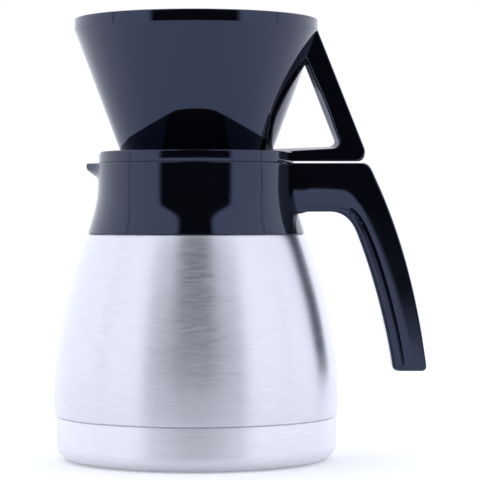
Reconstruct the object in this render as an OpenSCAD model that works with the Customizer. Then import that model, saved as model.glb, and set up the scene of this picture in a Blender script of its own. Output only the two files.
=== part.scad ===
// Manual pour-over coffee brewer: a filter cone that stands on a vacuum carafe.
// Millimetres, +Z up. The origin is the middle of the face that the carafe stands on.
// The pouring lip points to -X, and both handles point to +X.

/* [Carafe] */
// Largest radius of the steel jacket
body_r = 77.8; // [77.4:0.1:78.2]
// Height of the seam between the base cup and the jacket
seam_z = 24.2; // [22:0.2:25]
// Radius of the base cup's wall
cup_r = 76.8; // [76.6:0.1:76.8]
// Radius of the base cup's lower corner
cup_corner_r = 8; // [6:0.5:9]
// Thickness of the steel sheet
sheet = 0.8; // [0.6:0.1:0.9]
// Outer radius of the steel neck under the collar
neck_r = 47.5; // [47.3:0.1:47.6]
// Height of the steel lip at the mouth
lip_z = 151; // [150.6:0.1:151.2]

/* [Collar] */
// Radius of the collar at its rim
collar_r = 54; // [53.6:0.1:54.4]
// Height of the collar's rim, where the filter cone stands
rim_z = 162; // [161.5:0.1:162.5]
// Wall of the collar
collar_wall = 2.6; // [2.2:0.1:2.8]
// How far the pouring lip's tip is from the axis
spout_reach = 60.4; // [59:0.2:62]

/* [Carafe handle] */
// Width of the handle
grip_w = 24; // [20:1:28]

/* [Filter cone] */
// Outer radius of the cone below its rim band
cone_r = 66.7; // [66:0.1:67]
// Height of the top edge
cone_top_z = 240.7; // [239:0.1:242]
// Height of the wedge's foot, inside the neck
cone_foot_z = 132; // [130:1:136]
// Wall of the cone
cone_wall = 2.6; // [2.2:0.1:3]
// Radius of the round foot plate
flange_r = 53.6; // [53:0.1:54]
// Thickness of the foot plate
flange_h = 6.2; // [5.6:0.1:6.6]
// Width of the cone's handle
hook_w = 16; // [12:1:20]

/* [Hidden] */
$fn = 96;
// Room between the collar and the handle's root, which is cut to flats where the collar is round
fit_room = 0.08;

// Base: the cup's floor hangs pad_drop above the table, and the pad fills a recess in it
pad_drop = 0.6;
pad_t = 1.6;
pad_r = 61.4;
jacket_foot_z = 9.4;
jacket_foot_r = cup_r - sheet - 0.3;
seal_hole_r = 2.2;

// Shoulder and neck
shoulder_z = 123.3;
shoulder_r = 59.4;
gasket_t = 1;
neck_foot_z = 132;
liner_neck_r = neck_r - 3;
liner_r = 70.6;
liner_foot_z = 18.5;

// Collar's inner fittings
mouth_r = collar_r - collar_wall;
ledge_z = 143.5;
ledge_t = 2;
seal_t = 1.2;
ring_top_z = 157;

// Handle screws, side by side through the collar's wall
screw_z = 140.4;
screw_y = 7;
screw_r = 1.75;
screw_head_r = 2.9;
screw_head_h = 2;
screw_pad_x = 50.6;
screw_end_x = 61.4;

// Cone and its wedge foot
band_z = 234.6;
band_r = cone_r + 0.2;
wedge_half = 23;
wedge_r = 5;
rib_h = 1.2;
rib_t = 1.4;
rib_foot_z = cone_foot_z + 9;
rib_top_z = 215;
drip_r = 2.2;
drip_x = 9;
skirt_r = mouth_r - 0.5;
skirt_t = 1.6;
skirt_foot_z = rim_z - 4;

// Points on a cubic curve from p[0] to p[3], without p[0] itself
function bezier(p, n) = [for (i = [1:n]) let (t = i / n, s = 1 - t)
  s ^ 3 * p[0] + 3 * s ^ 2 * t * p[1] + 3 * s * t ^ 2 * p[2] + t ^ 3 * p[3]];
// Points on an arc about c
function arc(c, r, from, to, n) = [for (i = [0:n]) let (a = from + (to - from) * i / n)
  c + r * [cos(a), sin(a)]];
function reversed(line) = [for (i = [len(line) - 1:-1:0]) line[i]];
// Unit normal to the left of the way from a to b
function left(a, b) = let (d = b - a) [-d[1], d[0]] / norm(d);
// The line moved t to its left
function moved(line, t) = [for (i = [0:len(line) - 1])
  line[i] + t * left(line[max(i - 1, 0)], line[min(i + 1, len(line) - 1)])];

// Half section of the jacket's outside, from foot to neck
jacket_line = concat(
  [[jacket_foot_r, jacket_foot_z], [jacket_foot_r, seam_z - 0.4], [body_r - 0.8, seam_z + 0.1]],
  arc([body_r - 0.8, seam_z + 0.9], 0.8, -60, 0, 4),
  [[body_r, 38]],
  bezier([[body_r, 38], [body_r, 55], [73.4, 78], [69.2, 93.5]], 14),
  bezier([[69.2, 93.5], [66.4, 103.5], [61.6, 119.4], [shoulder_r, shoulder_z - 0.6]], 10),
  [[shoulder_r - 0.6, shoulder_z], [54, shoulder_z], [49.4, neck_foot_z - 4],
   [neck_r, neck_foot_z], [neck_r, lip_z - sheet]]);

// Half section of the liner's outside, from its weld to the neck
liner_line = concat(
  [[liner_r, 27], [liner_r, 38]],
  bezier([[liner_r, 38], [liner_r, 54], [66.6, 76], [62.6, 92]], 14),
  bezier([[62.6, 92], [60, 102], [56.5, 112], [52.5, 118]], 8),
  [[46.5, neck_foot_z - 6], [liner_neck_r, neck_foot_z - 2], [liner_neck_r, lip_z - sheet]]);

// Outside of the collar, from its hem to the rim
collar_line = concat(
  [[59.6, shoulder_z + 0.3]],
  bezier([[59.6, shoulder_z + 0.3], [57.4, 131], [collar_r + 0.2, 139], [collar_r, 150]], 12),
  [[collar_r, rim_z - 0.5]],
  arc([collar_r - 0.5, rim_z - 0.5], 0.5, 15, 90, 4));

// Distance along the line to each of its points
function runs(line) = [for (i = 0, s = 0; i < len(line); i = i + 1,
  s = i < len(line) ? s + norm(line[i] - line[i - 1]) : s) s];
// Evenly spaced points along the line; a warp above 0 spreads the first ones out
function along(line, count, warp = 0) = let (run = runs(line), end = run[len(run) - 1])
  [for (k = [0:count - 1]) let (t = k / (count - 1), s = end * (t + warp * t * (1 - t) ^ 2))
    [for (axis = [0, 1]) lookup(s, [for (i = [0:len(line) - 1]) [run[i], line[i][axis]]])]];

// The handle's back and hand side in the XZ plane: the arm as far as the bend, then the grip
grip_tip_z = 48.2;
tip_round = 3;
arm_back = concat(
  [[50, rim_z], [91, rim_z]],
  bezier([[91, rim_z], [93.4, rim_z], [94.86, 160.2], [95.95, 158.1]], 6));
arm_front = concat(
  [[50, 134.4], [57.6, 134.4], [60.5, 135.4], [73, 135.4]],
  bezier([[73, 135.4], [77.5, 135.4], [80.75, 133.8], [83.2, 131.3]], 8));
grip_back = concat(
  bezier([[95.95, 158.1], [96.7, 156.7], [97.2, 155.3], [97.8, 154]], 4),
  bezier([[97.8, 154], [113, 121.5], [121.3, 86], [body_r + 48, grip_tip_z + tip_round]], 24));
grip_front = concat(
  bezier([[83.2, 131.3], [85.6, 128.9], [87.3, 125.5], [88.5, 122]], 6),
  bezier([[88.5, 122], [97.5, 99], [104.5, 70], [107.2, grip_tip_z + tip_round]], 20));

// Stations along the handle, each [middle, half of the way from hand side to back, share of the grip's shape]
arm_count = 14;
grip_count = 26;
function station(front, back, share) = [(front + back) / 2, (back - front) / 2, share];
arm_stations = let (f = along(arm_front, arm_count), b = along(arm_back, arm_count))
  [for (i = [0:arm_count - 1]) station(f[i], b[i], max(0, i / (arm_count - 1) - 0.5))];
grip_stations = let (f = along(concat([[83.2, 131.3]], grip_front), grip_count),
  b = along(concat([[95.95, 158.1]], grip_back), grip_count, 0.55))
  [for (i = [1:grip_count - 1]) station(f[i], b[i], min(1, 0.5 + i / 10))];
stations = concat(arm_stations, grip_stations);

// Half sections on the arm and on the grip: [place from -1 on the hand side to 1 on the back, half width]
shell_arm = [[-0.78, 9.4], [-0.5, 10], [-0.2, 11], [0, 11.7], [0.15, 12], [0.93, 10.8],
  [0.98, 9.8], [1, 4]];
shell_grip = [[-0.45, 8.6], [-0.2, 9.8], [0.05, 11], [0.25, 11.8], [0.45, 12], [0.92, 11.2],
  [0.98, 10.2], [1, 4]];
cover_arm = [[-1, 4.6], [-0.97, 6.8], [-0.92, 8.2], [-0.86, 9], [-0.78, 9.2]];
cover_grip = [[-1, 4.6], [-0.93, 6.8], [-0.8, 8.2], [-0.62, 8.8], [-0.45, 8.8]];
hollow_arm = [[-0.9, 6.6], [-0.5, 7.4], [0, 9], [0.15, 9.4], [0.8, 8]];
hollow_grip = [[-0.55, 5.9], [-0.2, 7.2], [0.25, 9.2], [0.45, 9.4], [0.72, 9]];

// A wall of thickness t inside a half section, turned about the axis
module turned_wall(line, t) {
  rotate_extrude() polygon(concat(line, reversed(moved(line, t))));
}

// A flat XZ outline as a plate of width w across the middle plane
module plate(outline, w) {
  rotate([90, 0, 0]) linear_extrude(w, center = true) polygon(outline);
}

module outer_shell() {
  color("silver") turned_wall(jacket_line, sheet);
}

module base_cup() {
  floor_z = pad_drop;
  line = concat(
    [[0, pad_t], [40, pad_t], [pad_r + 0.6, pad_t], [pad_r + 1.6, floor_z]],
    arc([cup_r - cup_corner_r, floor_z + cup_corner_r], cup_corner_r, -90, 0, 12),
    [[cup_r, seam_z - 0.8], [cup_r - 0.3, seam_z - 0.4]]);
  color("lightgray") turned_wall(line, sheet);
}

module base_pad() {
  color("dimgray") cylinder(r = pad_r, h = pad_t);
}

module jacket_bottom() {
  rim = jacket_foot_r - sheet;
  color("darkgray") difference() {
    translate([0, 0, jacket_foot_z]) cylinder(r = rim, h = 2.4);
    translate([0, 0, jacket_foot_z - 1]) cylinder(r = rim - sheet, h = 2.6);
    cylinder(r = seal_hole_r, h = liner_foot_z);
  }
}

module tip_seal() {
  floor_z = jacket_foot_z + 1.6;
  color("goldenrod") rotate_extrude() polygon([
    [0, floor_z - 1.6], [4, floor_z - 1.6], [5, floor_z], [seal_hole_r, floor_z],
    [seal_hole_r, floor_z + sheet], [0, floor_z + sheet]]);
}

getter_x = 34;
getter_z = jacket_foot_z + 3;

module getter() {
  color("gray") translate([getter_x, 0, getter_z]) cylinder(r = 4, h = 1.8);
}

// A strip welded to the bottom plate, with a tray for the getter
module getter_clip() {
  top_z = jacket_foot_z + 2.4;
  color("silver") {
    translate([getter_x, 0, top_z]) cylinder(r = 4.6, h = getter_z - top_z);
    translate([getter_x - 12, -2, top_z]) cube([12, 4, getter_z - top_z]);
  }
}

// Foil on the liner's barrel, which sends the heat back
module radiation_foil() {
  barrel = [for (p = liner_line) if (p[1] > 30 && p[1] < 112) p];
  color("peru") turned_wall(barrel, -0.3);
}

module inner_liner() {
  inside = moved(liner_line, sheet);
  neck = len(inside) - 1;
  color("gainsboro") rotate_extrude() polygon(concat(
    liner_line, [[neck_r, lip_z - sheet], [neck_r, lip_z], [inside[neck][0], lip_z]],
    reversed(inside)));
}

module liner_bottom() {
  line = concat(
    [[0, liner_foot_z], [30, liner_foot_z], [56, liner_foot_z - 1.4]],
    arc([liner_r - 9, 26], 9, -84, 0, 8),
    [[liner_r, 27]]);
  color("gainsboro") turned_wall(line, sheet);
}

// The pouring lip's outside or, with a wall, the channel inside it
module spout(wall, foot_z, tip_z) {
  hull() {
    translate([-spout_reach + 5, 0, tip_z]) cylinder(r = 5 - wall, h = rim_z - tip_z + wall, $fn = 48);
    translate([-41, 0, foot_z]) cylinder(r = 13 - wall, h = rim_z - foot_z + wall, $fn = 48);
  }
}

module collar() {
  inside = [for (p = moved(collar_line, collar_wall)) if (p[1] > 126 && p[1] < ledge_z - 1) p];
  hem_z = shoulder_z + gasket_t;
  color("black") difference() {
    union() {
      rotate_extrude() polygon(concat(
        collar_line, [[mouth_r + 0.5, rim_z], [mouth_r, rim_z - 0.5], [mouth_r, ledge_z + ledge_t],
          [neck_r + 0.4, ledge_z + ledge_t], [neck_r + 0.4, ledge_z], [mouth_r, ledge_z]],
        reversed(inside),
        [[55, 126], [55, hem_z], [58.8, hem_z], [58.8, shoulder_z + 0.3]]));
      difference() {
        spout(0, 153.4, rim_z - 3.4);
        cylinder(r = mouth_r + 1, h = 200);
      }
      // Flat pad for the screw heads
      intersection() {
        translate([screw_pad_x, -11, screw_z - 3.9]) cube([4.6, 22, 7.8]);
        cylinder(r = collar_r - 0.4, h = 200);
      }
    }
    spout(1.6, 156.4, rim_z - 2.2);
    for (s = [-1, 1])
      translate([45, s * screw_y, screw_z]) rotate([0, 90, 0]) cylinder(r = screw_r, h = 15);
  }
}

module collar_gasket() {
  color("dimgray") translate([0, 0, shoulder_z]) difference() {
    cylinder(r = 58.4, h = gasket_t);
    translate([0, 0, -1]) cylinder(r = 55.2, h = gasket_t + 2);
  }
}

// Nut on the neck's thread, which holds the collar down on its gasket
module lock_ring() {
  color("gray") translate([0, 0, ledge_z + ledge_t]) difference() {
    cylinder(r = mouth_r - 0.5, h = 4.6);
    translate([0, 0, -1]) cylinder(r = neck_r, h = 7);
  }
}

// Funnel between the steel lip and the collar
module mouth_ring() {
  foot_z = lip_z + seal_t;
  sleeve_r = liner_neck_r - sheet - 0.3;
  color("black") rotate_extrude() polygon([
    [sleeve_r - 1.2, lip_z - 5], [sleeve_r, lip_z - 5], [sleeve_r, foot_z],
    [mouth_r - 0.2, foot_z], [mouth_r - 0.2, ring_top_z], [mouth_r - 1.4, ring_top_z],
    [sleeve_r, foot_z + 2], [sleeve_r - 1.2, foot_z + 1]]);
}

module mouth_seal() {
  color("dimgray") translate([0, 0, lip_z]) difference() {
    cylinder(r = neck_r - 0.2, h = seal_t);
    translate([0, 0, -1]) cylinder(r = liner_neck_r - sheet, h = seal_t + 2);
  }
}

// Everything inside the collar's outer surface, for cutting the handle's root to it
module collar_core(room = 0) {
  rotate_extrude() polygon(concat(
    [[0, shoulder_z + 0.3]], moved(collar_line, -room), [[0, rim_z + room]]));
}

// A station, or the place midway between two stations for an i that ends in a half
function at_station(i) = (stations[floor(i)] + stations[ceil(i)]) / 2;

// A section carried along the handle from one station to another, with the tip rounded if it gets there
module swept(arm, grip, from, to) {
  last = len(stations) - 1;
  way = [0.09, -1] / norm([0.09, -1]);
  tip = [for (a = [30:30:90]) [
    [stations[last][0] + tip_round * sin(a) * way, stations[last][1] * (1 - 0.3 * (1 - cos(a))), 1],
    1 - 0.25 * (1 - cos(a))]];
  rings = concat([for (i = [from:to]) [at_station(i), 1]], to == last ? tip : []);
  n = 2 * len(arm);
  function across(share, k) = (1 - share) * arm[k] + share * grip[k];
  function corner(ring, k) =
    let (p = across(ring[0][2], k < len(arm) ? k : n - 1 - k), q = ring[0][0] + p[0] * ring[0][1])
    [q[0], (k < len(arm) ? 1 : -1) * p[1] * ring[1] * grip_w / 24, q[1]];
  sides = [for (i = [0:len(rings) - 2], k = [0:n - 1]) [i * n + k, i * n + (k + 1) % n]];
  polyhedron(
    [for (ring = rings, k = [0:n - 1]) corner(ring, k)],
    concat(
      [[for (k = [0:n - 1]) k], [for (k = [n - 1:-1:0]) (len(rings) - 1) * n + k]],
      [for (e = sides) [e[0], e[1] + n, e[1]]],
      [for (e = sides) [e[0], e[0] + n, e[1] + n]]));
}

module handle_shell() {
  last = len(stations) - 1;
  color("black") difference() {
    swept(shell_arm, shell_grip, 0, last);
    swept(hollow_arm, hollow_grip, 5.5, last - 1.5);
    collar_core(fit_room);
    for (s = [-1, 1])
      translate([45, s * screw_y, screw_z]) rotate([0, 90, 0]) cylinder(r = screw_r, h = screw_end_x - 45);
  }
}

module handle_cover() {
  color("black") difference() {
    swept(cover_arm, cover_grip, 0, len(stations) - 1);
    collar_core(fit_room);
  }
}

module handle_screws() {
  color("silver") for (s = [-1, 1]) translate([screw_pad_x, s * screw_y, screw_z])
    rotate([0, 90, 0]) {
      translate([0, 0, -screw_head_h]) cylinder(r = screw_head_r, h = screw_head_h);
      cylinder(r = screw_r, h = screw_end_x - screw_pad_x);
    }
}

// Round at the top, narrowing to a wedge foot, drawn in by wall on every side
module wedge_cone(wall) {
  hull() {
    translate([0, 0, band_z]) cylinder(r = cone_r - wall, h = 0.01, $fn = 72);
    for (s = [-1, 1]) translate([s * wedge_half, 0, cone_foot_z + wall])
      cylinder(r = wedge_r - wall * 0.8, h = 0.01, $fn = 36);
  }
}

// Thin upright plates along the cone's slopes, cut later to stand rib_h off its wall
module rib_plates() {
  h = rib_top_z - rib_foot_z;
  spread = cone_r - wedge_r;
  for (x = [-16:8:16]) translate([x - rib_t / 2, -70, rib_foot_z]) cube([rib_t, 140, h]);
  for (s = [-1, 1], a = [-60:30:60])
    translate([s * wedge_half, 0, rib_foot_z])
      rotate([0, 0, atan2(spread * sin(a), s * (spread * cos(a) - wedge_half))])
        translate([0, -rib_t / 2, 0]) cube([70, rib_t, h]);
}

// The foot plate's solid outline: its end over the pouring lip is rounded off
module flange_blank() {
  round_r = 4.4;
  top_z = rim_z + flange_h;
  intersection() {
    rotate_extrude() polygon(concat(
      [[0, rim_z], [flange_r - 0.5, rim_z], [flange_r, rim_z + 0.5]],
      arc([flange_r - 0.8, top_z - 0.8], 0.8, 0, 90, 4),
      [[0, top_z]]));
    plate(concat(
      [[60, rim_z - 1], [60, top_z + 1], [round_r - flange_r, top_z + 1]],
      arc([round_r - flange_r, top_z - round_r], round_r, 90, 180, 8),
      [[-flange_r, rim_z - 1]]), 120);
  }
}

module filter_cone() {
  color("black") difference() {
    union() {
      wedge_cone(0);
      translate([0, 0, band_z]) cylinder(r = band_r, h = cone_top_z - band_z);
      difference() {
        flange_blank();
        translate([0, 0, rim_z - 1]) cylinder(r = mouth_r - 0.2, h = flange_h - 1.6);
      }
      difference() {
        translate([0, 0, skirt_foot_z]) cylinder(r = skirt_r, h = 8);
        translate([0, 0, skirt_foot_z - 1]) cylinder(r = skirt_r - skirt_t, h = 10);
      }
    }
    difference() {
      wedge_cone(cone_wall);
      // Ribs that hold the paper off the wall
      difference() {
        rib_plates();
        wedge_cone(cone_wall + rib_h);
      }
    }
    translate([0, 0, band_z - 0.1]) cylinder(r = cone_r - cone_wall, h = 10);
    for (s = [-1, 1]) translate([s * drip_x, 0, cone_foot_z - 1]) cylinder(r = drip_r, h = 8);
  }
}

// A triangle whose third side is the cone: a back bar from the rim down and a foot bar
module cone_handle() {
  heel = [92.2, 169];
  foot_z = rim_z + 1;
  color("black") difference() {
    plate(concat(
      [[40, foot_z]],
      arc([heel[0] - 3.6, foot_z + 3.6], 3.6, -90, 0, 5),
      [[heel[0], heel[1] - 1], [heel[0] - 0.6, heel[1] + 1.6], [66.3, band_z], [40, band_z]]), hook_w);
    plate([[30, 169.8], [73, 171.2], [75.6, 172.4], [76, 174.6], [60.2, 215], [59.4, 216.4],
      [57.8, 216.8], [30, 216.8]], hook_w + 2);
    wedge_cone(0);
    flange_blank();
  }
}

outer_shell();
base_cup();
base_pad();
jacket_bottom();
tip_seal();
getter();
getter_clip();
radiation_foil();
inner_liner();
liner_bottom();
collar();
collar_gasket();
lock_ring();
mouth_ring();
mouth_seal();
handle_shell();
handle_cover();
handle_screws();
filter_cone();
cone_handle();
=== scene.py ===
"""Looks of a manual pour-over coffee brewer: a filter cone that stands on a steel vacuum carafe.

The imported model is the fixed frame. The pieces that show are surfaces worked out here, in metres, in the
same frame: +Z up, the pouring lip towards -X, both handles towards +X, the carafe's axis on Z.
"""

import math

import bmesh
import bpy
import numpy as np
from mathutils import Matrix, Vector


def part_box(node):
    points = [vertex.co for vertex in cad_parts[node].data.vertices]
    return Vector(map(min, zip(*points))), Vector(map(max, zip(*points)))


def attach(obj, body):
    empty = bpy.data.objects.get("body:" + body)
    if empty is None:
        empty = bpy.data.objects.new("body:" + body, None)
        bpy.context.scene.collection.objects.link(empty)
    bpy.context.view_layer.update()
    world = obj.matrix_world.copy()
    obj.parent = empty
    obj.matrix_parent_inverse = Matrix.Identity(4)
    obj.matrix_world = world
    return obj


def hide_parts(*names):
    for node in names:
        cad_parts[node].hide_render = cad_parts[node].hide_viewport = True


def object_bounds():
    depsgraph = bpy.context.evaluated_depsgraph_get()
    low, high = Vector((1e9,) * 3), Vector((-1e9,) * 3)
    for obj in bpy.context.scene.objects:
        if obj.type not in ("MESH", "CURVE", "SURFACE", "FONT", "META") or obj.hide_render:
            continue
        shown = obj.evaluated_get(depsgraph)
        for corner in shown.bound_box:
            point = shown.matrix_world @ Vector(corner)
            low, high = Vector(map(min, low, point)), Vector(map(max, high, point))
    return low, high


bl_info = {
    "name": "Pour-over coffee brewer",
    "version": (1, 0, 0),
    "blender": (4, 5, 0),
    "location": "View3D > Sidebar > Brewer",
    "description": "Builds the carafe, the filter cone, their handles and a plain studio",
    "category": "Object",
}

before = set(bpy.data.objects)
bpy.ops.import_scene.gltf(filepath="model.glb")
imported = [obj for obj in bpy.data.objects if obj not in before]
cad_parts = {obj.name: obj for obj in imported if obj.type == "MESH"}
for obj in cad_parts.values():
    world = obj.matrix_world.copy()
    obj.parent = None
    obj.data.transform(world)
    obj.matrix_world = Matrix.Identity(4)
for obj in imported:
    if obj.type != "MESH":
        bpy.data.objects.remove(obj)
CAD_BOX = [list(corner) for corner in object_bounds()]
MM = 0.001
NAMES = {name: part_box(name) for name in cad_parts}


def linear(code):
    """An sRGB hex colour as linear red, green and blue."""
    parts = np.array([int(code[i:i + 2], 16) for i in (0, 2, 4)]) / 255
    low, high = parts / 12.92, ((parts + 0.055) / 1.055) ** 2.4
    return tuple(float(x) for x in np.where(parts <= 0.04045, low, high))


def top(node):
    """Height of a CAD node's highest point."""
    return NAMES[node][1].z


def foot(node):
    """Height of a CAD node's lowest point."""
    return NAMES[node][0].z


def reach(node):
    """A round CAD node's largest radius, which its width across gives."""
    return (NAMES[node][1].y - NAMES[node][0].y) / 2


# ---------------------------------------------------------------- sizes and colours


def length(name, description, default):
    """A length property, in metres."""
    return bpy.props.FloatProperty(
        name=name, description=description, default=default, min=0.0, precision=5, unit="LENGTH")


def colour(name, description, code):
    """A colour property, from an sRGB hex value."""
    return bpy.props.FloatVectorProperty(
        name=name, description=description, default=linear(code), min=0, max=1, subtype="COLOR")


class BrewerSizes(bpy.types.PropertyGroup):
    """Sizes that the surfaces are worked out from; the large ones come from the frame."""

    sheet: length("Steel sheet", "Thickness of the carafe's steel", 0.8 * MM)
    seam_gap: length("Seam gap", "Height of the gap between the base cup and the jacket", 0.5 * MM)
    cup_corner: length("Cup corner", "Radius of the base cup's lower corner", 8 * MM)
    rim_round: length("Rim rounding", "Radius on the collar's top edge", 0.9 * MM)
    cone_wall: length("Cone wall", "Wall of the filter cone", 2.6 * MM)
    wedge_half: length("Wedge half length", "Half the straight part of the cone's foot", 23 * MM)
    wedge_end: length("Wedge end radius", "Radius of the cone's foot at its ends", 5 * MM)
    rib_height: length("Rib height", "How far the cone's ribs stand off its wall", 1.2 * MM)
    parting: length("Parting line", "Gap between the handle's two mouldings", 0.02 * MM)


class BrewerColours(bpy.types.PropertyGroup):
    """Base colours of the finishes."""

    steel: colour("Steel", "Brushed stainless steel", "d8d9e1")
    cup_steel: colour("Cup steel", "Satin stainless steel", "e6e7ee")
    black: colour("Black plastic", "Glossy black moulding", "060609")
    sheen: colour("Black's reflection", "Tint of the reflection in the black mouldings", "bfceff")
    satin_black: colour("Satin black", "Black mouldings that hardly show", "111113")
    silicone: colour("Silicone", "Seals and the base pad", "3a3b3e")
    floor: colour("Floor", "The plain pale floor", "f4f4f6")


def sizes():
    return bpy.context.scene.brewer_sizes


def colours():
    return bpy.context.scene.brewer_colours


# ---------------------------------------------------------------- outlines


def cubic(p0, p1, p2, p3, count):
    """Points on a cubic curve from p0 to p3, without p0 itself."""
    t = np.linspace(0, 1, count + 1)[1:, None]
    p0, p1, p2, p3 = (np.asarray(p, float) for p in (p0, p1, p2, p3))
    return (1 - t) ** 3 * p0 + 3 * (1 - t) ** 2 * t * p1 + 3 * (1 - t) * t ** 2 * p2 + t ** 3 * p3


def filleted(corners, radii, steps=6, closed=True):
    """An outline with rounded corners: each corner gives way to an arc that touches both its sides.

    The arc's middle stands r / sin(half the corner's angle) from the corner, on the line that halves it. An
    open line keeps its first and last points.
    """
    corners = np.asarray(corners, float)
    out = []
    for i, here in enumerate(corners):
        inside = closed or 0 < i < len(corners) - 1
        r = radii[i] if inside else 0
        if r <= 0:
            out.append(here[None])
            continue
        a = corners[i - 1] - here
        b = corners[(i + 1) % len(corners)] - here
        la, lb = np.linalg.norm(a), np.linalg.norm(b)
        a, b = a / la, b / lb
        half = math.acos(float(np.clip(a @ b, -1, 1))) / 2
        run = min(r / math.tan(half), 0.8 * la, 0.8 * lb)
        r = run * math.tan(half)
        centre = here + (a + b) / np.linalg.norm(a + b) * r / math.sin(half)
        start, end = here + a * run - centre, here + b * run - centre
        sign = 1 if start[0] * end[1] - start[1] * end[0] > 0 else -1
        angle = sign * np.linspace(0, math.pi - 2 * half, steps + 1)
        out.append(centre + np.stack([start[0] * np.cos(angle) - start[1] * np.sin(angle),
                                      start[0] * np.sin(angle) + start[1] * np.cos(angle)], 1))
    return np.concatenate(out)


def offset(line, t):
    """The open line moved t to its left, along its own normals."""
    d = np.gradient(line, axis=0)
    d /= np.linalg.norm(d, axis=1, keepdims=True)
    return line + t * np.stack([-d[:, 1], d[:, 0]], 1)


def resampled(line, count, warp=0.0):
    """The line at count places, evenly spaced along it: a warp above 0 spreads the first ones out, as
    t + warp t (1 - t)^2 of its length."""
    line = np.asarray(line, float)
    run = np.concatenate([[0], np.cumsum(np.linalg.norm(np.diff(line, axis=0), axis=1))])
    t = np.linspace(0, 1, count)
    at = run[-1] * (t + warp * t * (1 - t) ** 2)
    return np.stack([np.interp(at, run, line[:, k]) for k in range(line.shape[1])], 1)


# ---------------------------------------------------------------- surfaces


def skin(grid, wrap_rows, wrap_columns):
    """Vertices and quads of a grid of points: rows and columns join up with themselves if they wrap."""
    rows, columns = grid.shape[:2]
    r = np.arange(rows if wrap_rows else rows - 1)[:, None]
    c = np.arange(columns if wrap_columns else columns - 1)[None, :]
    r2, c2 = (r + 1) % rows, (c + 1) % columns
    quads = np.stack([r * columns + c, r * columns + c2, r2 * columns + c2, r2 * columns + c], -1)
    return grid.reshape(-1, 3), quads.reshape(-1, 4)


def join(parts):
    """Several (vertices, quads) as one."""
    points, faces, start = [], [], 0
    for v, f in parts:
        points.append(v)
        faces.append(f + start)
        start += len(v)
    return np.concatenate(points), np.concatenate(faces)


def piece(name, parts, body, material, replaced=(), sharp=38):
    """A mesh object made of surfaces, which rides on a body and may stand for CAD nodes.

    Its seams and poles are merged, and it is smooth but for edges sharper than sharp degrees.
    """
    v, f = join(parts)
    mesh = bpy.data.meshes.new(name)
    mesh.from_pydata(v.astype(np.float32), [], f.tolist())
    work = bmesh.new()
    work.from_mesh(mesh)
    bmesh.ops.remove_doubles(work, verts=work.verts, dist=2e-6)
    bmesh.ops.dissolve_degenerate(work, edges=work.edges, dist=1e-6)
    bmesh.ops.recalc_face_normals(work, faces=work.faces)
    work.to_mesh(mesh)
    work.free()
    mesh.shade_smooth()
    mesh.set_sharp_from_angle(angle=math.radians(sharp))
    mesh.materials.append(material)
    obj = bpy.data.objects.new(name, mesh)
    bpy.context.scene.collection.objects.link(obj)
    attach(obj, body)
    if replaced:
        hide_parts(*replaced)
    return obj


def turned(profile, segments=240, closed=True):
    """A profile of (radius, height) carried round the axis: the point at angle a is (r cos a, r sin a, z)."""
    a = np.linspace(0, 2 * math.pi, segments, endpoint=False)
    r, z = profile[:, 0][:, None], profile[:, 1][:, None]
    grid = np.stack([r * np.cos(a), r * np.sin(a), z + 0 * a], -1)
    return skin(grid, closed, True)


def walled(line, t):
    """A closed profile: the line, and back along the line moved t to its left."""
    return np.concatenate([line, offset(line, t)[::-1]])


def bar(back, front, sections, keep, tip=0.0):
    """A bar whose section is carried between two lines in the XZ plane, the front line and the back line.

    A section point (d, w) lies d from the front line towards the back line and w off the middle plane. Where
    the lines stand further apart than the section is deep, only its part beyond d = keep is drawn out. With
    a tip, the far end runs on as a quarter circle of that radius: by tip sin a down along (lean, -1), while
    the section's depth shrinks by 2 tip (1 - cos a), and its width by 0.8 of the share that the depth
    loses. The ends close on their middles.
    """
    lean = 0.09
    d, w = sections[..., 0], sections[..., 1]
    deep = np.linalg.norm(back - front, axis=1)[:, None]
    if keep:
        d = np.where(d > keep, keep + (d - keep) * (deep - keep) / (d.max(1, keepdims=True) - keep), d)
    u = 2 * d / deep - 1
    mid, half = (back + front) / 2, (back - front) / 2
    if tip:
        a = np.linspace(0, math.pi / 2, 10)[1:]
        way = np.array([lean, -1]) / np.hypot(lean, 1)
        shrink = 1 - tip * (1 - np.cos(a)) / np.linalg.norm(half[-1])
        mid = np.concatenate([mid, mid[-1] + tip * np.sin(a)[:, None] * way])
        half = np.concatenate([half, half[-1] * shrink[:, None]])
        u = np.concatenate([u, np.repeat(u[-1:], len(a), 0)])
        w = np.concatenate([w, w[-1:] * (1 - 0.8 * (1 - shrink))[:, None]])
    grid = np.stack([mid[:, :1] + half[:, :1] * u, w, mid[:, 1:] + half[:, 1:] * u], -1)
    ends = [np.repeat(ring.mean(0)[None, None], ring.shape[0], 1) for ring in (grid[0], grid[-1])]
    return skin(np.concatenate([ends[0], grid, ends[1]]), False, True)


# ---------------------------------------------------------------- materials


def add(tree, kind, inputs=(), **settings):
    """A node with its settings, and with each input set to a value or joined to another node's socket."""
    node = tree.nodes.new(kind)
    for key, value in settings.items():
        setattr(node, key, value)
    for key, value in dict(inputs).items():
        if isinstance(value, bpy.types.NodeSocket):
            tree.links.new(value, node.inputs[key])
        else:
            node.inputs[key].default_value = value
    return node


def new_material(name):
    """An empty material with its output, its shader and its Object coordinates."""
    material = bpy.data.materials.new(name)
    material.use_nodes = True
    tree = material.node_tree
    tree.nodes.clear()
    shader = add(tree, "ShaderNodeBsdfPrincipled")
    output = add(tree, "ShaderNodeOutputMaterial")
    tree.links.new(shader.outputs[0], output.inputs[0])
    place = add(tree, "ShaderNodeTexCoord").outputs["Object"]
    return material, tree, shader, place


def set_shader(shader, **values):
    """Values on the shader's own sockets, by their names with _ for a space."""
    for key, value in values.items():
        shader.inputs[key.replace("_", " ")].default_value = value


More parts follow.
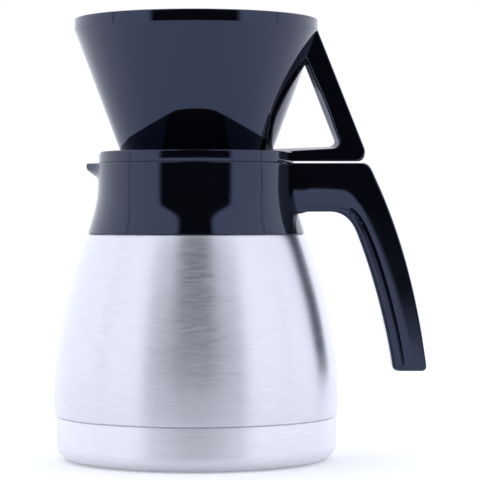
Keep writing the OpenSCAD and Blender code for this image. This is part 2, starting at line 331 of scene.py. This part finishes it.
def tinted(tree, base, factor, low, high):
    """The base colour made darker and lighter by a factor from low to high."""
    scale = add(tree, "ShaderNodeMapRange", {"Value": factor, "To Min": low, "To Max": high}).outputs[0]
    return add(tree, "ShaderNodeMix", {"Factor": 1.0, "A": (*base, 1), "B": scale},
               data_type="RGBA", blend_type="MULTIPLY")


def brushed_stainless_steel(name, base, line_mm, rough, depth):
    """Stainless steel (18/8) brushed round the axis on a lathe with an abrasive belt.

    The grooves run round the body, so a light is drawn out up and down, across them. Real grooves are about
    0.05 mm apart, too fine to show, so they are drawn line_mm apart and 9 mm long, with a slower variation
    along the body under them.
    """
    material, tree, shader, place = new_material(name)
    set_shader(shader, Metallic=1.0, Roughness=rough, Anisotropic=0.9, Anisotropic_Rotation=0.25)
    run_mm = 9
    fine, run = 1 / (line_mm * MM), 1 / (run_mm * MM)
    stretch = add(tree, "ShaderNodeMapping", {"Vector": place, "Scale": (run, run, fine)}).outputs[0]
    lines = add(tree, "ShaderNodeTexNoise", {"Vector": stretch, "Scale": 1.0, "Detail": 2.0,
                                             "Roughness": 0.6}).outputs["Fac"]
    wide = add(tree, "ShaderNodeMapping", {"Vector": place, "Scale": (run / 3, run / 3, fine / 5)}).outputs[0]
    bands = add(tree, "ShaderNodeTexNoise", {"Vector": wide, "Scale": 1.0, "Detail": 2.0}).outputs["Fac"]
    both = add(tree, "ShaderNodeMath", {0: lines, 1: 3.0, 2: bands}, operation="MULTIPLY_ADD").outputs[0]
    brushing = add(tree, "ShaderNodeMath", {0: both, 1: 0.25}, operation="MULTIPLY").outputs[0]
    shade = tinted(tree, base, brushing, 0.8, 1.2).outputs[2]
    tree.links.new(shade, shader.inputs["Base Color"])
    roughness = add(tree, "ShaderNodeMapRange", {
        "Value": brushing, "From Min": 0.3, "From Max": 0.7,
        "To Min": rough - 0.05, "To Max": rough + 0.07}).outputs[0]
    tree.links.new(roughness, shader.inputs["Roughness"])
    bump = add(tree, "ShaderNodeBump", {"Height": lines, "Strength": depth, "Distance": 0.004 * MM})
    tree.links.new(bump.outputs[0], shader.inputs["Normal"])
    tangent = add(tree, "ShaderNodeTangent", direction_type="RADIAL", axis="Z").outputs[0]
    tree.links.new(tangent, shader.inputs["Tangent"])
    return material


def gloss_black_plastic(name, base, sheen):
    """Polypropylene moulded in a polished tool: a deep black with a clear mirror image.

    The tool leaves a very slight waviness about 6 mm long, and handling leaves faint cloudy patches.
    """
    material, tree, shader, place = new_material(name)
    set_shader(shader, Base_Color=(*base, 1), Roughness=0.08, IOR=1.7, Specular_Tint=(*sheen, 1))
    patch_mm, wave_mm = 22, 6
    clouds = add(tree, "ShaderNodeTexNoise", {
        "Vector": place, "Scale": 1 / (patch_mm * MM), "Detail": 4.0}).outputs["Fac"]
    roughness = add(tree, "ShaderNodeMapRange", {
        "Value": clouds, "From Min": 0.35, "From Max": 0.7, "To Min": 0.05, "To Max": 0.1}).outputs[0]
    tree.links.new(roughness, shader.inputs["Roughness"])
    waves = add(tree, "ShaderNodeTexNoise", {
        "Vector": place, "Scale": 1 / (wave_mm * MM), "Detail": 1.0}).outputs["Fac"]
    bump = add(tree, "ShaderNodeBump", {"Height": waves, "Strength": 0.12, "Distance": 0.02 * MM})
    tree.links.new(bump.outputs[0], shader.inputs["Normal"])
    return material


def satin_plastic(name, base, rough, grain_mm):
    """Polypropylene or silicone from an etched tool: a fine even grain that breaks up the light."""
    material, tree, shader, place = new_material(name)
    set_shader(shader, Roughness=rough, IOR=1.45)
    grain = add(tree, "ShaderNodeTexNoise", {"Vector": place, "Scale": 1 / (grain_mm * MM), "Detail": 3.0})
    mixed = tinted(tree, base, grain.outputs["Fac"], 0.8, 1.2)
    tree.links.new(mixed.outputs[2], shader.inputs["Base Color"])
    bump = add(tree, "ShaderNodeBump", {
        "Height": grain.outputs["Fac"], "Strength": 0.4, "Distance": 0.05 * MM})
    tree.links.new(bump.outputs[0], shader.inputs["Normal"])
    return material


def plain_metal(name, base, rough, grain_mm, metallic=1.0):
    """Sheet metal as it comes from the press: even, with faint mill marks."""
    material, tree, shader, place = new_material(name)
    set_shader(shader, Metallic=metallic)
    marks = add(tree, "ShaderNodeTexNoise", {"Vector": place, "Scale": 1 / (grain_mm * MM), "Detail": 4.0})
    mixed = tinted(tree, base, marks.outputs["Fac"], 0.85, 1.1)
    tree.links.new(mixed.outputs[2], shader.inputs["Base Color"])
    roughness = add(tree, "ShaderNodeMapRange", {
        "Value": marks.outputs["Fac"], "To Min": rough - 0.08, "To Max": rough + 0.08}).outputs[0]
    tree.links.new(roughness, shader.inputs["Roughness"])
    bump = add(tree, "ShaderNodeBump", {
        "Height": marks.outputs["Fac"], "Strength": 0.25, "Distance": 0.02 * MM})
    tree.links.new(bump.outputs[0], shader.inputs["Normal"])
    return material


def finish(name):
    """One of the brewer's finishes, made once and then shared."""
    if name in bpy.data.materials:
        return bpy.data.materials[name]
    c = colours()
    makers = {
        "brushed_steel": lambda: brushed_stainless_steel(name, tuple(c.steel), 0.75, 0.36, 1.0),
        "satin_steel": lambda: brushed_stainless_steel(name, tuple(c.cup_steel), 0.6, 0.42, 0.5),
        "liner_steel": lambda: brushed_stainless_steel(name, tuple(c.steel), 0.6, 0.26, 0.3),
        "gloss_black": lambda: gloss_black_plastic(name, tuple(c.black), tuple(c.sheen)),
        "satin_black": lambda: satin_plastic(name, tuple(c.satin_black), 0.38, 0.5),
        "silicone": lambda: satin_plastic(name, tuple(c.silicone), 0.62, 0.4),
        "pressed_steel": lambda: plain_metal(name, linear("b9b9bb"), 0.35, 4),
        "bright_foil": lambda: plain_metal(name, linear("e2e2e2"), 0.2, 3),
        "sintered_alloy": lambda: plain_metal(name, linear("5b5957"), 0.7, 0.3),
        "solder_glass": lambda: plain_metal(name, linear("8a6a3c"), 0.25, 2, 0.0),
        "zinc_plate": lambda: plain_metal(name, linear("c3c5c4"), 0.28, 1),
    }
    return makers[name]()


# ---------------------------------------------------------------- carafe


def jacket_line():
    """Half section of the jacket's outside in millimetres, from its foot to the neck."""
    r, shoulder, neck_r = 77.8, 123.3, 47.5
    straight_end, waist, edge = (r, 38), (69.2, 93.5), (59.4, shoulder - 0.6)
    seam = top("base_cup") / MM + sizes().seam_gap / MM
    start = filleted([(r - 1.9, foot("outer_shell") / MM), (r - 1.9, seam), (r, seam), (r, seam + 8)],
                     [0, 0.3, 0.5, 0], closed=False)
    body = np.concatenate([
        start, [straight_end],
        cubic(straight_end, (r, 55), (73.4, 78), waist, 26),
        cubic(waist, (66.4, 103.5), (61.6, 119.4), edge, 20)])
    neck = filleted([edge, (58.8, shoulder), (54, shoulder), (49.4, 128), (neck_r, 132), (neck_r, 150.2)],
                    [0, 0.4, 1.5, 4, 6, 0], closed=False)
    return np.concatenate([body, neck[1:]])


class BREWER_OT_jacket(bpy.types.Operator):
    """The jacket: its half section carried round the axis, with the sheet's thickness inside"""

    bl_idname = "brewer.jacket"
    bl_label = "Jacket"

    def execute(self, context):
        profile = walled(jacket_line() * MM, sizes().sheet)
        piece("jacket", [turned(profile, 320)], "carafe", finish("brushed_steel"),
              ["outer_shell"], sharp=50)
        return {"FINISHED"}


class BREWER_OT_base(bpy.types.Operator):
    """The base cup with its large lower corner, and the pad let into its underside"""

    bl_idname = "brewer.base"
    bl_label = "Base cup and pad"

    def execute(self, context):
        r, high = reach("base_cup"), top("base_cup")
        low = foot("base_cup")
        pad_r, pad_t = reach("base_pad"), top("base_pad")
        t = sizes().sheet
        outside = filleted(
            [(0, pad_t), (pad_r + 0.6 * MM, pad_t), (pad_r + 1.6 * MM, low), (r, low), (r, high),
             (r - 1.2 * MM, high)],
            [0, 0.4 * MM, 0.4 * MM, sizes().cup_corner, 0.3 * MM, 0], steps=12, closed=False)
        piece("cup", [turned(walled(outside, t), 320)], "carafe", finish("satin_steel"),
              ["base_cup"], sharp=50)
        pad = filleted([(0, 0), (pad_r, 0), (pad_r, pad_t), (0, pad_t)], [0, 0.5 * MM, 0.2 * MM, 0],
                       closed=False)
        piece("pad", [turned(pad, 160, closed=False)], "carafe", finish("silicone"),
              ["base_pad"])
        return {"FINISHED"}


class BREWER_OT_bottle(bpy.types.Operator):
    """The inner bottle: liner, rolled lip and welded bottom"""

    bl_idname = "brewer.bottle"
    bl_label = "Inner bottle"

    def execute(self, context):
        t = sizes().sheet / MM
        lip = top("inner_liner") / MM
        barrel_r, neck_r, throat_r, lip_r = 70.6, 44.5, 43.7, 47.5
        waist, shoulder = (62.6, 92), (52.5, 118)
        outside = np.concatenate([
            [[barrel_r, 27], [barrel_r, 38]],
            cubic((barrel_r, 38), (barrel_r, 54), (66.6, 76), waist, 24),
            cubic(waist, (60, 102), (56.5, 112), shoulder, 16),
            filleted([shoulder, (46.5, 126), (neck_r, 130), (neck_r, lip - t)], [0, 6, 5, 0],
                     closed=False)[1:]])
        inside = offset(outside, t)
        rolled = filleted(
            [(neck_r, lip - t), (lip_r, lip - t), (lip_r, lip), (throat_r, lip), (throat_r, lip - 3)],
            [0, 0.3, 0.4, 0.8, 0], closed=False)
        profile = np.concatenate([outside[:-1], rolled, inside[::-1][1:]]) * MM
        piece("bottle", [turned(profile, 240)], "carafe", finish("liner_steel"),
              ["inner_liner"], sharp=50)
        turn = np.radians(np.linspace(-84, 0, 12))
        corner_r, centre = 9, (61.6, 27)
        corner = np.array(centre) + corner_r * np.stack([np.cos(turn), np.sin(turn)], 1)
        line = np.concatenate([[[0, 18.5], [30, 18.5], [56, 17.6]], corner])
        wall = walled(line, t) * MM
        wall[:, 0] = np.maximum(wall[:, 0], 0)
        wall[-1, 0] = 0
        piece("bottle_bottom", [turned(wall, 240)], "carafe", finish("liner_steel"),
              ["liner_bottom"], sharp=50)
        return {"FINISHED"}


def lip_shape(angle, z, foot_z, full_z, stand, spread):
    """How far the pouring lip stands out at an angle and a height.

    It is stand x side^1.5 (side + 3) / 4 x rise. side falls evenly from 1 on the lip's middle line to 0 at
    spread to either side, and rise goes evenly from 0 at foot_z to 1 at full_z.
    """
    turn = np.abs(angle % (2 * math.pi) - math.pi)
    side = np.clip(1 - turn / spread, 0, 1)
    rise = np.clip((z - foot_z) / (full_z - foot_z), 0, 1)
    return stand * side ** 1.5 * (0.25 * side + 0.75) * rise


class BREWER_OT_collar(bpy.types.Operator):
    """The collar: a flared ring whose wall is pushed out into the pouring lip, and its gasket"""

    bl_idname = "brewer.collar"
    bl_label = "Collar"

    def execute(self, context):
        rim = top("collar") / MM
        out = 54.0
        mouth = out - 2.6
        low = foot("collar") / MM
        outer = np.concatenate([
            [[59.6, low]],
            cubic((59.6, low), (57.4, 131), (out + 0.2, 139), (out, 150), 28),
            np.stack([np.full(9, out), np.linspace(152, rim - 1.2, 9)], 1)])
        edge = filleted([(out, rim - 1.2), (out, rim), (mouth, rim), (mouth, rim - 2)],
                        [0, sizes().rim_round / MM, 0.5, 0], closed=False)
        inner = np.stack([np.full(12, mouth), np.linspace(rim - 2.2, 145.5, 12)], 1)
        under = filleted([(mouth, 145.5), (47.9, 145.5), (47.9, 143.5), (51.8, 143.5)], [0, 0.3, 0.3, 0],
                         closed=False)
        hem = low + 0.7
        back = np.array([[52.4, 139], [53.4, 134], [55.0, 129], [55.0, hem], [58.8, hem], [58.8, low]])
        profile = np.concatenate([outer, edge[1:], inner, under[1:], back])
        angle = np.linspace(0, 2 * math.pi, 480, endpoint=False)
        z = profile[:, 1][:, None]
        on_outside = np.zeros(len(profile))
        on_outside[:len(outer) + len(edge) // 2] = 1
        on_inside = (profile[:, 1] > 150) & (on_outside == 0)
        lip = {"foot_z": 153.6, "full_z": 158.8, "stand": 6.4, "spread": math.radians(15)}
        channel = {"foot_z": 155.6, "full_z": 160.6, "stand": 7.2, "spread": math.radians(12.5)}
        push = on_outside[:, None] * lip_shape(angle, z, **lip)
        push = push + on_inside[:, None] * lip_shape(angle, z, **channel)
        r = profile[:, 0][:, None] + push
        grid = np.stack([r * np.cos(angle), r * np.sin(angle), z + 0 * angle], -1) * MM
        piece("collar_ring", [skin(grid, True, True)], "carafe", finish("gloss_black"),
              ["collar"], sharp=45)
        base, lid = foot("collar_gasket") / MM, top("collar_gasket") / MM
        gasket = filleted([(55.2, base), (58.4, base), (58.4, lid), (55.2, lid)], [0.2] * 4)
        piece("gasket", [turned(gasket * MM, 200)], "carafe", finish("silicone"),
              ["collar_gasket"])
        return {"FINISHED"}


class BREWER_OT_mouth(bpy.types.Operator):
    """The funnel ring in the mouth and the seal under it"""

    bl_idname = "brewer.mouth"
    bl_label = "Mouth ring and seal"

    def execute(self, context):
        funnel = filleted(
            [(42.2, 146), (43.4, 146), (43.4, 152.2), (51.2, 152.2), (51.2, 157), (50, 157), (43.6, 154.2),
             (42.2, 153.2)],
            [0.3, 0.3, 0, 0.2, 0.3, 0.8, 2.5, 0.8])
        piece("funnel_ring", [turned(funnel * MM, 240)], "carafe", finish("satin_black"),
              ["mouth_ring"])
        seal = filleted([(43.7, 151), (47.3, 151), (47.3, 152.2), (43.7, 152.2)], [0.3] * 4)
        piece("lip_seal", [turned(seal * MM, 200)], "carafe", finish("silicone"),
              ["mouth_seal"])
        return {"FINISHED"}


# ---------------------------------------------------------------- carafe handle


def grip_lines(arm, grip):
    """The carafe handle's back line and hand-side line in the XZ plane, in metres, and for each station the
    share of the grip's section, which goes smoothly from 0 on the arm to 1 below the bend."""
    rim, tip = top("collar") / MM, 51.2
    back_bend, front_bend = (95.95, rim - 3.9), (83.2, 131.3)
    arm_back = np.concatenate([
        [[52.2, rim], [91, rim]],
        cubic((91, rim), (93.4, rim), (94.86, rim - 1.8), back_bend, 12)])
    arm_front = np.concatenate([
        [[52.2, 134.4], [57, 134.4]],
        cubic((57, 134.4), (59, 134.4), (59.5, 135.4), (62, 135.4), 8), [[73, 135.4]],
        cubic((73, 135.4), (77.5, 135.4), (80.75, 133.8), front_bend, 12)])
    grip_back = np.concatenate([
        [back_bend],
        cubic(back_bend, (96.7, 156.7), (97.2, 155.3), (97.8, 154), 8),
        cubic((97.8, 154), (113, 121.5), (121.3, 86), (125.8, tip), 60)])
    grip_front = np.concatenate([
        [front_bend],
        cubic(front_bend, (85.6, 128.9), (87.3, 125.5), (88.5, 122), 10),
        cubic((88.5, 122), (97.5, 99), (104.5, 70), (107.2, tip), 60)])
    back = np.concatenate([resampled(arm_back, arm), resampled(grip_back, grip, 0.55)[1:]])
    front = np.concatenate([resampled(arm_front, arm), resampled(grip_front, grip)[1:]])
    place = np.concatenate([np.linspace(-1, 0, arm), np.linspace(0, 1, grip)[1:]])
    share = np.clip((place + 0.25) / 0.4, 0, 1)
    return back * MM, front * MM, share * share * (3 - 2 * share)


def half_section(corners, count=240):
    """A closed section of rounded corners, whose mirror image across the middle plane is itself.

    A corner is (distance from the front line, distance from the middle plane, radius), in millimetres.
    """
    pts = np.asarray(corners, float)
    both = np.concatenate([pts, pts[::-1] * (1, -1, 1)])
    ring = filleted(both[:, :2], both[:, 2], steps=12)
    start = (ring[-1:] + ring[:1]) / 2
    return resampled(np.concatenate([start, ring, start]), count + 1)[:-1] * MM


class BREWER_OT_carafe_handle(bpy.types.Operator):
    """The carafe's handle: its back and its cover, each a section carried out, round the bend and down

    The sides slope in a little towards the hand, and on the grip a narrow hollow runs along the joint.
    """

    bl_idname = "brewer.carafe_handle"
    bl_label = "Carafe handle"

    def execute(self, context):
        back, front, share = grip_lines(60, 130)
        gap = sizes().parting / MM / 2
        tip_round = 3 * MM
        shell = ([(2.9 + gap, 9.42, 0.05), (5, 9.78, 0.5), (8, 10.2, 30), (12, 10.6, 56), (26.6, 10.4, 0.9)],
                 [(5.3 + gap, 10.3, 0.1), (7, 10.1, 0.2), (8, 10.35, 2), (10.2, 10.52, 40),
                  (19.2, 10.4, 0.9)])
        cover = ([(0, 9.0, 2.0), (2.9 - gap, 9.4, 0.05)], [(0, 9.9, 3.0), (5.3 - gap, 10.13, 0.1)])
        for name, (arm, grip), node, keep in (("grip_back", shell, "handle_shell", 15.5 * MM),
                                              ("grip_cover", cover, "handle_cover", 0)):
            arm, grip = np.array(arm, float), np.array(grip, float)
            sections = np.stack([half_section(arm + part * (grip - arm)) for part in share])
            piece(name, [bar(back, front, sections, keep, tip_round)], "carafe", finish("gloss_black"),
                  [node], sharp=40)
        return {"FINISHED"}


# ---------------------------------------------------------------- filter cone

BAND_HIGH = 6.1 * MM
BAND_OUT = 0.2 * MM


def wedge_ring(count):
    """The places round the cone: for each, its angle and which straight end of the foot it belongs to.

    The two ends are half circles. Between them the straight sides have places of their own, where the share
    runs from one end to the other at a right angle.
    """
    half = count // 2
    straight = 24
    right = np.linspace(-math.pi / 2, math.pi / 2, half)
    ring = np.concatenate([
        np.stack([right, np.ones(half)], 1),
        np.stack([np.full(straight, math.pi / 2), np.linspace(1, -1, straight + 2)[1:-1]], 1),
        np.stack([right + math.pi, -np.ones(half)], 1),
        np.stack([np.full(straight, -math.pi / 2), np.linspace(-1, 1, straight + 2)[1:-1]], 1)])
    return ring[:, 0], ring[:, 1]


def cone_spread():
    """Height of the cone's foot, height and radius of the rim band's lower edge, all in metres."""
    return foot("filter_cone"), top("filter_cone") - BAND_HIGH, reach("filter_cone") - BAND_OUT


def wedge_at(z, inset):
    """Half the straight part and the end radius of the cone's section at height z, drawn in by inset."""
    low, high, wide = cone_spread()
    t = np.clip((high - z) / (high - low), 0, 1.2)
    r = wide * (1 - t) + sizes().wedge_end * t - inset
    return sizes().wedge_half * t, np.maximum(r, 0)


def wedge_surface(profile, count):
    """The cone's walls: at each (height, inset) of the profile its section is a stadium, whose half circles
    of radius r stand s to either side of the axis, so it is round at the rim and a slot at the foot."""
    angle, end = wedge_ring(count)
    s, r = wedge_at(profile[:, 0], profile[:, 1])
    x = s[:, None] * end + r[:, None] * np.cos(angle)
    y = r[:, None] * np.sin(angle)
    return skin(np.stack([x, y, profile[:, 0][:, None] + 0 * angle], -1), False, True)


class BREWER_OT_filter_cone(bpy.types.Operator):
    """The filter cone: wedge walls, rim band, foot plate with its locating ring, and ribs"""

    bl_idname = "brewer.filter_cone"
    bl_label = "Filter cone"

    def execute(self, context):
        low, band, _ = cone_spread()
        high = top("filter_cone")
        wall = sizes().cone_wall
        outer_z = np.linspace(low + 1 * MM, band - 1.4 * MM, 30)
        profile = np.concatenate([
            [[low, sizes().wedge_end], [low, 1 * MM], [low + 0.3 * MM, 0.3 * MM]],
            np.stack([outer_z, 0 * outer_z], 1),
            filleted([(band - 1.4 * MM, 0), (band, -BAND_OUT), (high, -BAND_OUT), (high, wall), (band, wall)],
                     [0, 1.2 * MM, 0.7 * MM, 0.7 * MM, 0], closed=False)[1:],
            np.stack([np.linspace(band - 1 * MM, low + wall + 0.5 * MM, 30), np.full(30, wall)], 1),
            [[low + wall, wall + 0.5 * MM], [low + wall, sizes().wedge_end]]])
        walls = wedge_surface(profile, 360)
        piece("cone_walls", [walls], "dripper", finish("gloss_black"), ["filter_cone"],
              sharp=40)
        piece("cone_plate", [self.plate()], "dripper", finish("gloss_black"), sharp=40)
        piece("cone_ribs", self.ribs(), "dripper", finish("gloss_black"), sharp=40)
        return {"FINISHED"}

    def plate(self):
        """The foot plate and locating ring turned about the axis; past a chord over the lip its top edge
        drops as a quarter circle of 4.4 mm."""
        low = top("collar") / MM
        r, high = 53.6, low + 6.2
        mouth, inside = 51.4, 26
        profile = filleted(
            [(inside, high - 2.6), (mouth - 2.1, high - 2.6), (mouth - 2.1, low - 4), (mouth - 0.5, low - 4),
             (mouth - 0.5, high - 2.6), (mouth - 0.2, high - 2.6), (mouth - 0.2, low), (r, low), (r, high),
             (inside, high)],
            [0, 0.5, 0.5, 0.5, 0, 0, 0.3, 0.3, 0.8, 0], steps=5)
        inner = np.linspace(r - 1, inside, 24)[1:-1]
        flat_top = np.stack([inner, np.full(len(inner), high)], 1)
        profile = np.concatenate([profile[:-1], flat_top, profile[-1:]])
        v, f = turned(profile, 480)
        drop_r = 4.4
        past = np.clip(-(v[:, 0] + r - drop_r), 0, drop_r)
        ceiling = high - drop_r + np.sqrt(np.maximum(drop_r ** 2 - past ** 2, 0))
        v[:, 2] = np.where(v[:, 2] > low + 1.5, np.minimum(v[:, 2], ceiling), v[:, 2])
        return v * MM, f

    def ribs(self):
        """Ribs up the inside, each a half-round bead on a line where an upright plane meets the wall."""
        low = cone_spread()[0]
        z = np.linspace(low + 9 * MM, top("filter_cone") - 25 * MM, 24)
        s, r = wedge_at(z, sizes().cone_wall)
        paths = []
        for x in np.arange(-16, 17, 8) * MM:
            out = np.maximum(np.abs(x) - s, 0)
            y = np.sqrt(np.maximum(r ** 2 - out ** 2, 0))
            keep = out < r * 0.9
            for side in (-1, 1):
                paths.append(np.stack([0 * z + x, side * y, z], 1)[keep])
        for end in (-1, 1):
            for a in np.radians(np.arange(-55, 56, 22)):
                paths.append(np.stack([end * (s + r * np.cos(a)), r * np.sin(a), z], 1))
        return [self.bead(path) for path in paths if len(path) > 3]

    def bead(self, path):
        """A bead along a path on the wall: half round, rib_height proud, its ends tapered to nothing."""
        n = len(path)
        inward = -path * (1, 1, 0)
        inward /= np.linalg.norm(inward, axis=1, keepdims=True)
        across = np.cross(inward, (0, 0, 1))
        run = np.linspace(0, 1, n)
        taper = np.clip(np.minimum(run, 1 - run) * 10, 0, 1)[:, None, None] ** 0.5
        a = np.linspace(0, 2 * math.pi, 12, endpoint=False)[None, :, None]
        grid = path[:, None] + taper * (
            across[:, None] * np.cos(a) * 0.7 * MM + inward[:, None] * np.sin(a) * sizes().rib_height)
        return skin(grid, False, True)


class BREWER_OT_cone_handle(bpy.types.Operator):
    """The cone's handle: a flat-sided bar down from the rim, round a tight heel and back under the cone"""

    bl_idname = "brewer.cone_handle"
    bl_label = "Cone handle"

    def execute(self, context):
        low = foot("cone_handle") / MM
        back = np.concatenate([
            resampled([(62.5, 235.2), (66.2, 235.2)], 3),
            resampled([(66.2, 235.2), (91.2, 172.2)], 40)[1:],
            filleted([(91.2, 172.2), (92.4, 169), (91.8, low), (87, low)], [0, 2.0, 3.6, 0], steps=8,
                     closed=False)[1:],
            resampled([(87, low), (46, low)], 24)[1:]])
        front = np.concatenate([
            [(57.9, 216.8)], resampled([(59.6, 216), (75.4, 175.6)], 40),
            filleted([(75.4, 175.6), (76.4, 172.9), (73.4, 171.2), (70, 171.05)], [0, 2.0, 2.0, 0], steps=8,
                     closed=False)[1:],
            resampled([(70, 171.05), (40, 169.8)], 24)[1:]])
        back, front = self.evened(back, 42), self.evened(front, 40)
        section = half_section([(0, 0.3, 0.2), (2.7, 7.8, 1.4), (13.2, 7.9, 0.9)])
        sections = np.repeat(section[None], len(back), 0)
        piece("hook", [bar(back, front, sections, 3 * MM)], "dripper", finish("gloss_black"),
              ["cone_handle"], sharp=40)
        return {"FINISHED"}

    def evened(self, line, heel):
        """The line, in metres, with 52 even places down to its heel and 38 beyond it."""
        return np.concatenate([resampled(line[:heel + 1], 52), resampled(line[heel:], 39)[1:]]) * MM


# ---------------------------------------------------------------- pieces that keep their CAD shape

CAD_FINISHES = {
    "jacket_bottom": "pressed_steel",
    "tip_seal": "solder_glass",
    "getter": "sintered_alloy",
    "getter_clip": "pressed_steel",
    "radiation_foil": "bright_foil",
    "lock_ring": "satin_black",
    "handle_screws": "zinc_plate",
}


class BREWER_OT_inner_parts(bpy.types.Operator):
    """Finishes for the parts inside, whose shape stays as it is"""

    bl_idname = "brewer.inner_parts"
    bl_label = "Parts inside"

    def execute(self, context):
        for node, name in CAD_FINISHES.items():
            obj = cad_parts[node]
            obj.data.materials.clear()
            obj.data.materials.append(finish(name))
        return {"FINISHED"}


# ---------------------------------------------------------------- studio


class BREWER_OT_camera(bpy.types.Operator):
    """A long lens 1.2 m away, level with the carafe's shoulder, square on to the side"""

    bl_idname = "brewer.camera"
    bl_label = "Camera"

    def execute(self, context):
        data = bpy.data.cameras.new("camera")
        data.sensor_width = 36
        data.lens = 161.25
        data.clip_end = 20
        obj = bpy.data.objects.new("camera", data)
        middle = (CAD_BOX[0][0] + CAD_BOX[1][0]) / 2
        away, eye_height, aim_height = 1.1825, 0.1326, 0.1199
        obj.location = (middle, -away, eye_height)
        tilt = math.atan2(eye_height - aim_height, away)
        obj.rotation_euler = (math.pi / 2 - tilt, 0, 0)
        context.scene.collection.objects.link(obj)
        context.scene.camera = obj
        return {"FINISHED"}


class BREWER_OT_stage(bpy.types.Operator):
    """A plain pale floor in a white studio, with a dark opening behind the camera"""

    bl_idname = "brewer.stage"
    bl_label = "Floor and light"

    def execute(self, context):
        self.floor()
        self.studio(context.scene)
        context.scene.view_settings.view_transform = "Standard"
        return {"FINISHED"}

    def floor(self):
        """A round table top of white paper, 2.3 m across, lit a little from below: rings whose radii grow as
        the square of their number."""
        edge = 1.15
        rings = np.linspace(0, 1, 14) ** 2 * edge
        v, f = turned(np.stack([rings, 0 * rings], 1), 64, closed=False)
        mesh = bpy.data.meshes.new("floor")
        mesh.from_pydata(v, [], f[64:].tolist())
        material, _, shader, _ = new_material("floor_paper")
        set_shader(shader, Base_Color=(*colours().floor, 1), Roughness=0.9, Specular_IOR_Level=0.0,
                   Emission_Color=(1, 1, 1, 1), Emission_Strength=0.16)
        mesh.materials.append(material)
        obj = bpy.data.objects.new("floor", mesh)
        bpy.context.scene.collection.objects.link(obj)

    def studio(self, scene):
        """White walls all round but for a dark opening behind the camera and a faint dark slit to each side.

        The opening starts just below the horizon and reaches 42 degrees to either side. From 20 degrees up
        it narrows, to 20 degrees to either side, and it closes above 56 degrees.
        """
        world = bpy.data.worlds.new("studio")
        world.use_nodes = True
        tree = world.node_tree
        tree.nodes.clear()
        way = add(tree, "ShaderNodeTexCoord").outputs["Generated"]
        part = add(tree, "ShaderNodeSeparateXYZ", {"Vector": way})
        side = add(tree, "ShaderNodeMath", {0: part.outputs["X"]}, operation="ABSOLUTE").outputs[0]
        front = add(tree, "ShaderNodeMath", {0: part.outputs["Y"], 1: -1.0}, operation="MULTIPLY").outputs[0]
        turn = add(tree, "ShaderNodeMath", {0: side, 1: front}, operation="ARCTAN2").outputs[0]
        rise = add(tree, "ShaderNodeMath", {0: part.outputs["Z"]}, operation="ARCSINE").outputs[0]

        def fade(value, start, end):
            """0 below start and 1 above end, both in degrees."""
            return add(tree, "ShaderNodeMapRange", {
                "Value": value, "From Min": math.radians(start), "From Max": math.radians(end)},
                interpolation_type="SMOOTHSTEP").outputs[0]

        def inverse(value):
            return add(tree, "ShaderNodeMath", {0: 1.0, 1: value}, operation="SUBTRACT").outputs[0]

        def product(a, b):
            return add(tree, "ShaderNodeMath", {0: a, 1: b}, operation="MULTIPLY").outputs[0]

        above = fade(rise, -4, -1.5)
        narrowing = add(tree, "ShaderNodeMapRange", {
            "Value": rise, "From Min": math.radians(20), "From Max": math.radians(34),
            "To Min": 0.0, "To Max": math.radians(22)}, interpolation_type="SMOOTHSTEP").outputs[0]
        spread = add(tree, "ShaderNodeMath", {0: turn, 1: narrowing}, operation="ADD").outputs[0]
        opening = product(product(inverse(fade(spread, 38, 46)), inverse(fade(rise, 56, 70))), above)
        slit = product(fade(turn, 81, 82.5), inverse(fade(turn, 83.5, 85)))
        slit = product(slit, inverse(fade(rise, 45, 65)))
        slit = product(product(slit, fade(front, -0.2, 0.0)), 0.4)
        gap = add(tree, "ShaderNodeMath", {0: opening, 1: slit}, operation="MAXIMUM").outputs[0]
        white, dark = (1.25, 1.28, 1.38, 1), (0.02, 0.02, 0.03, 1)
        light = add(tree, "ShaderNodeMix", {"Factor": gap, "A": white, "B": dark},
                    data_type="RGBA").outputs[2]
        studio = add(tree, "ShaderNodeBackground", {"Color": light, "Strength": 1.0})
        backdrop = add(tree, "ShaderNodeBackground", {"Color": (1, 1, 1, 1), "Strength": 1.0})
        seen = add(tree, "ShaderNodeLightPath").outputs["Is Camera Ray"]
        mixed = add(tree, "ShaderNodeMixShader", {0: seen, 1: studio.outputs[0], 2: backdrop.outputs[0]})
        add(tree, "ShaderNodeOutputWorld", {"Surface": mixed.outputs[0]})
        scene.world = world


class BREWER_PT_panel(bpy.types.Panel):
    """Buttons for each piece, in the order they are made"""

    bl_idname = "BREWER_PT_panel"
    bl_label = "Coffee brewer"
    bl_space_type = "VIEW_3D"
    bl_region_type = "UI"
    bl_category = "Brewer"

    def draw(self, context):
        for operator in STEPS:
            self.layout.operator(operator.bl_idname)


STEPS = (
    BREWER_OT_camera,
    BREWER_OT_jacket,
    BREWER_OT_base,
    BREWER_OT_bottle,
    BREWER_OT_collar,
    BREWER_OT_mouth,
    BREWER_OT_carafe_handle,
    BREWER_OT_filter_cone,
    BREWER_OT_cone_handle,
    BREWER_OT_inner_parts,
    BREWER_OT_stage,
)
CLASSES = (BrewerSizes, BrewerColours, *STEPS, BREWER_PT_panel)


def register():
    for cls in CLASSES:
        bpy.utils.register_class(cls)
    bpy.types.Scene.brewer_sizes = bpy.props.PointerProperty(type=BrewerSizes)
    bpy.types.Scene.brewer_colours = bpy.props.PointerProperty(type=BrewerColours)


def unregister():
    del bpy.types.Scene.brewer_colours
    del bpy.types.Scene.brewer_sizes
    for cls in reversed(CLASSES):
        bpy.utils.unregister_class(cls)


def main():
    register()
    for operator in STEPS:
        group, name = operator.bl_idname.split(".")
        getattr(getattr(bpy.ops, group), name)()


if __name__ == "__main__":
    main()
